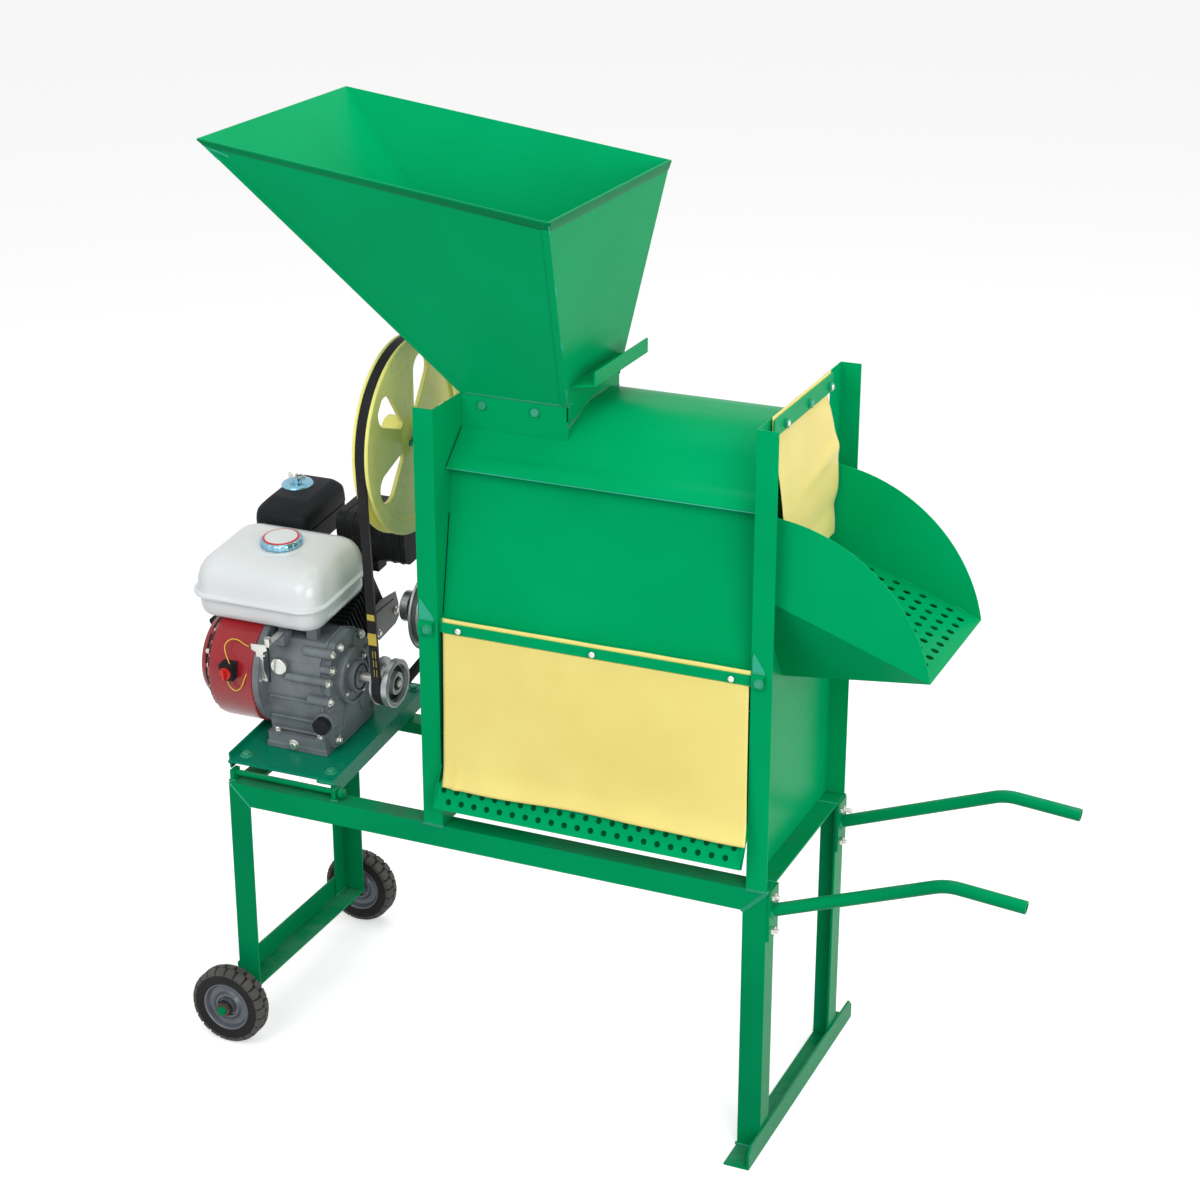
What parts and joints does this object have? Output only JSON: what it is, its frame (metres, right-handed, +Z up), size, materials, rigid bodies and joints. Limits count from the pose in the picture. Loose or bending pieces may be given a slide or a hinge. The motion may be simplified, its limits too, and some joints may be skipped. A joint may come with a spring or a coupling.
{
  "type": "corn sheller",
  "caption": "Engine-driven corn sheller on a wheeled angle-iron frame, with tall side hopper, belt drive, cob chute, grain flap and lift handles.",
  "frame": {"origin": "middle of the footprint, on the floor", "axes": "+Z up, +X from the engine end to the handles, +Y from the grain flap side to the far side"},
  "size_m": [1.5094, 0.541, 1.594],
  "materials": {
    "green_frame": "gloss enamel, scratched on the top faces",
    "green_sheet": "gloss enamel on sheet steel",
    "yellow_enamel": "satin enamel on cast iron",
    "yellow_cloth": "coated cloth, soft satin",
    "belt_rubber": "matt rubber",
    "tyre_rubber": "matt tread",
    "rim_grey": "satin grey enamel",
    "zinc": "bright zinc plate",
    "shaft_steel": "turned steel",
    "pulley_steel": "turned cast iron",
    "engine_cast": "cast aluminium paint",
    "tank_white": "white gloss enamel",
    "shroud_red": "red gloss enamel",
    "black_plastic": "moulded, fine grain",
    "exhaust_black": "heat-proof matt paint",
    "cap_chrome": "blue-passivated",
    "switch_red": "moulded"
  },
  "bodies": {
    "frame": {"near_rail": "green_frame", "far_rail": "green_frame", "cross_rails": "green_frame", "near_left_leg": "green_frame", "far_left_leg": "green_frame", "near_right_leg": "green_frame", "far_right_leg": "green_frame", "wheel_crossbar": "green_frame", "foot_bar": "green_frame", "wheel_axle": "green_frame", "wheel_nuts": "zinc", "near_handle": "green_frame", "far_handle": "green_frame", "handle_bolts": "green_frame", "engine_deck": "green_frame", "deck_mounts": "green_frame", "left_end_wall": "green_sheet", "right_end_wall": "green_sheet", "drum_hood": "green_sheet", "front_panel": "green_sheet", "rear_panel": "green_sheet", "hopper_neck": "green_sheet", "hopper": "green_sheet", "clamp_strips": "green_sheet", "panel_bolts": "zinc", "kernel_tray": "green_sheet", "chute_sides": "green_sheet", "chute_floor": "green_sheet", "chute_pan": "green_sheet", "concave": "green_sheet", "drum_bearings": "pulley_steel", "drive_belt": "belt_rubber", "fan_bearings": "pulley_steel", "crankcase": "engine_cast", "cylinder_head": "engine_cast", "engine_shroud": "shroud_red", "fuel_tank": "tank_white", "air_cleaner": "black_plastic", "muffler": "exhaust_black"},
    "rotor": {"rotor_shaft": "shaft_steel", "threshing_drum": "green_sheet", "drum_pulley": "yellow_enamel"},
    "crank": {"crankshaft": "shaft_steel", "engine_pulley": "pulley_steel"},
    "fan": {"fan_shaft": "shaft_steel", "fan_impeller": "green_sheet", "fan_pulley": "yellow_enamel"},
    "near_wheel": {"near_wheel_rim": "rim_grey", "near_tyre": "tyre_rubber"},
    "far_wheel": {"far_wheel_rim": "rim_grey", "far_tyre": "tyre_rubber"},
    "gate": {"slide_gate": "green_sheet"},
    "flap": {"grain_flap": "yellow_cloth"},
    "curtain": {"cob_curtain": "yellow_cloth"},
    "fuel_cap": {"fuel_cap": "cap_chrome"},
    "dipstick": {"oil_dipstick": "black_plastic"},
    "throttle": {"throttle_lever": "black_plastic"},
    "choke": {"choke_lever": "black_plastic"},
    "stop_switch": {"stop_switch": "switch_red"},
    "starter_grip": {"starter_handle": "black_plastic"}
  },
  "joints": [
    {"name": "rotor_spin", "type": "hinge", "parent": "frame", "child": "rotor", "pos_m": [-0.40521, 0.0675, 1.056], "axis": [1, 0, 0], "continuous": true},
    {"name": "crank_spin", "type": "hinge", "parent": "frame", "child": "crank", "pos_m": [-0.40521, -0.0325, 0.64215], "axis": [1, 0, 0], "continuous": true},
    {"name": "fan_spin", "type": "hinge", "parent": "frame", "child": "fan", "pos_m": [-0.40521, 0.1435, 0.708], "axis": [1, 0, 0], "continuous": true},
    {"name": "near_wheel_spin", "type": "hinge", "parent": "frame", "child": "near_wheel", "pos_m": [-0.62621, -0.2375, 0.07], "axis": [0, 1, 0], "continuous": true},
    {"name": "far_wheel_spin", "type": "hinge", "parent": "frame", "child": "far_wheel", "pos_m": [-0.62621, 0.2375, 0.07], "axis": [0, 1, 0], "continuous": true},
    {"name": "gate_slide", "type": "slide", "parent": "frame", "child": "gate", "axis": [0.9846, 0, 0.1747], "range_m": [0, 0.17]},
    {"name": "flap_swing", "type": "hinge", "parent": "frame", "child": "flap", "pos_m": [-0.03421, -0.1906, 0.8249], "axis": [-1, 0, 0], "range_deg": [0, 75]},
    {"name": "curtain_swing", "type": "hinge", "parent": "frame", "child": "curtain", "pos_m": [0.31779, -0.0145, 1.2069], "axis": [0, -1, 0], "range_deg": [0, 70]},
    {"name": "fuel_cap_turn", "type": "hinge", "parent": "frame", "child": "fuel_cap", "pos_m": [-0.61821, -0.0042, 0.85126], "axis": [0, -0.1045, 0.9945], "range_deg": [0, 90]},
    {"name": "dipstick_turn", "type": "hinge", "parent": "frame", "child": "dipstick", "pos_m": [-0.48821, -0.11636, 0.57904], "axis": [0, -0.9945, -0.1045], "range_deg": [0, 360]},
    {"name": "throttle_swing", "type": "hinge", "parent": "frame", "child": "throttle", "pos_m": [-0.57321, -0.09959, 0.7256], "axis": [0, -0.1045, 0.9945], "range_deg": [-25, 25]},
    {"name": "choke_swing", "type": "hinge", "parent": "frame", "child": "choke", "pos_m": [-0.69521, 0.15035, 0.76796], "axis": [-1, 0, 0], "range_deg": [-40, 40]},
    {"name": "stop_switch_turn", "type": "hinge", "parent": "frame", "child": "stop_switch", "pos_m": [-0.65221, -0.1532, 0.66165], "axis": [0, -0.9945, -0.1045], "range_deg": [0, 60]},
    {"name": "starter_pull", "type": "slide", "parent": "frame", "child": "starter_grip", "axis": [-1, 0, 0], "range_m": [0, 0.5]}
  ],
  "couplings": [
    {"joint": "crank_spin", "follows": "rotor_spin", "ratio": 4.6056},
    {"joint": "fan_spin", "follows": "rotor_spin", "ratio": 2.4962}
  ]
}
